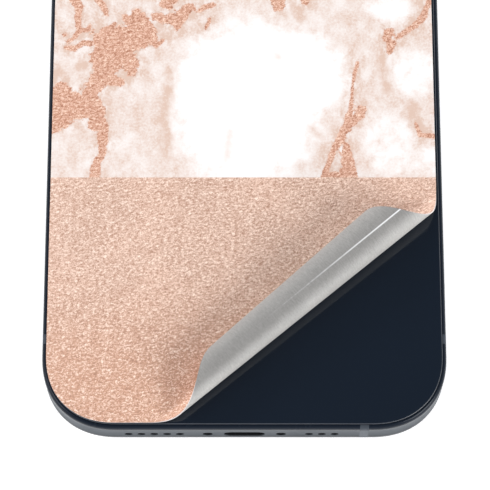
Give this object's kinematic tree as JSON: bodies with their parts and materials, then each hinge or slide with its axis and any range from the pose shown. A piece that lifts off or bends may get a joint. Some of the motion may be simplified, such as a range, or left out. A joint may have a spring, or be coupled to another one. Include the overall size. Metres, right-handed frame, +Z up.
{
  "type": "smartphone",
  "caption": "Flat-sided smartphone lying face down, with a printed back skin whose corner has peeled and rolled up.",
  "frame": {"origin": "centre of the bounding box on the plane the display's outer face rests on", "axes": "+Z up through the phone from the display to the back, +Y towards the phone's top end, +X to the right as the back is seen"},
  "size_m": [0.0722, 0.1466, 0.016],
  "materials": {
    "band_metal": "satin",
    "cover_glass": "gloss",
    "back_glass": "gloss",
    "black_plastic": "matte",
    "insert_plastic": "satin",
    "tape": "matte",
    "skin_film": "satin",
    "skin_backing": "satin",
    "cell_wrap": "satin",
    "board": "satin",
    "tin": "satin",
    "copper": "satin",
    "ferrite": "matte",
    "lens_glass": "gloss",
    "flash_lens": "satin",
    "gold": "gloss",
    "mesh": "matte",
    "tungsten": "satin",
    "flex": "satin",
    "card": "satin"
  },
  "bodies": {
    "phone": {"frame": "band_metal", "lens_ring_lower": "band_metal", "lens_ring_upper": "band_metal", "antenna_insert_bottom": "insert_plastic", "antenna_insert_top": "insert_plastic", "antenna_insert_left_lower": "insert_plastic", "antenna_insert_left_upper": "insert_plastic", "antenna_insert_right_lower": "insert_plastic", "antenna_insert_right_upper": "insert_plastic", "cover_glass": "cover_glass", "back_glass": "back_glass", "camera_plate": "back_glass", "cover_glass_tape": "tape", "back_glass_tape": "tape", "battery_pull_tape": "tape", "display_panel": "black_plastic", "front_camera": "black_plastic", "earpiece_speaker": "black_plastic", "loudspeaker": "black_plastic", "earpiece_mesh": "mesh", "rear_mic_mesh": "mesh", "speaker_mesh": "mesh", "mic_mesh": "mesh", "end_screw_left": "tin", "end_screw_right": "tin", "camera_housing_lower": "tin", "camera_housing_upper": "tin", "board_shield_lower": "tin", "board_shield_upper": "tin", "port_shell": "tin", "microphone": "tin", "haptic_case": "tin", "haptic_cover": "tin", "haptic_spring_left": "tin", "haptic_spring_right": "tin", "volume_key_bracket": "tin", "power_key_bracket": "tin", "card_reader": "tin", "coil_shield": "ferrite", "charging_coil": "copper", "skin_flat": "skin_film", "skin_curl": "skin_backing", "flash_window": "flash_lens", "lens_cover_lower": "lens_glass", "lens_cover_upper": "lens_glass", "battery": "cell_wrap", "logic_board": "board", "port_contacts": "gold", "port_flex": "flex"},
    "volume_up": {"volume_up_key": "band_metal"},
    "volume_down": {"volume_down_key": "band_metal"},
    "power": {"power_key": "band_metal"},
    "ringer": {"ringer_switch": "band_metal"},
    "tray": {"card_tray": "band_metal", "card": "card"},
    "upper_lens": {"lens_barrel_upper": "black_plastic"},
    "lower_lens": {"lens_barrel_lower": "black_plastic"},
    "haptic_weight": {"haptic_mass": "tungsten"}
  },
  "joints": [
    {"name": "volume_up_press", "type": "slide", "parent": "phone", "child": "volume_up", "axis": [-1, 0, 0], "range_m": [0, 0.0003], "stiffness_N_per_m": 7000},
    {"name": "volume_down_press", "type": "slide", "parent": "phone", "child": "volume_down", "axis": [-1, 0, 0], "range_m": [0, 0.0003], "stiffness_N_per_m": 7000},
    {"name": "power_press", "type": "slide", "parent": "phone", "child": "power", "axis": [1, 0, 0], "range_m": [0, 0.0003], "stiffness_N_per_m": 7000},
    {"name": "ringer_slide", "type": "slide", "parent": "phone", "child": "ringer", "axis": [0, 0, 1], "range_m": [0, 0.0009]},
    {"name": "tray_slide", "type": "slide", "parent": "phone", "child": "tray", "axis": [1, 0, 0], "range_m": [0, 0.021]},
    {"name": "upper_focus", "type": "slide", "parent": "phone", "child": "upper_lens", "axis": [0, 0, 1], "range_m": [0, 0.0003], "stiffness_N_per_m": 800},
    {"name": "lower_focus", "type": "slide", "parent": "phone", "child": "lower_lens", "axis": [0, 0, 1], "range_m": [0, 0.0003], "stiffness_N_per_m": 800},
    {"name": "haptic_shake", "type": "slide", "parent": "phone", "child": "haptic_weight", "axis": [1, 0, 0], "range_m": [-0.0004, 0.0004], "stiffness_N_per_m": 3000}
  ]
}
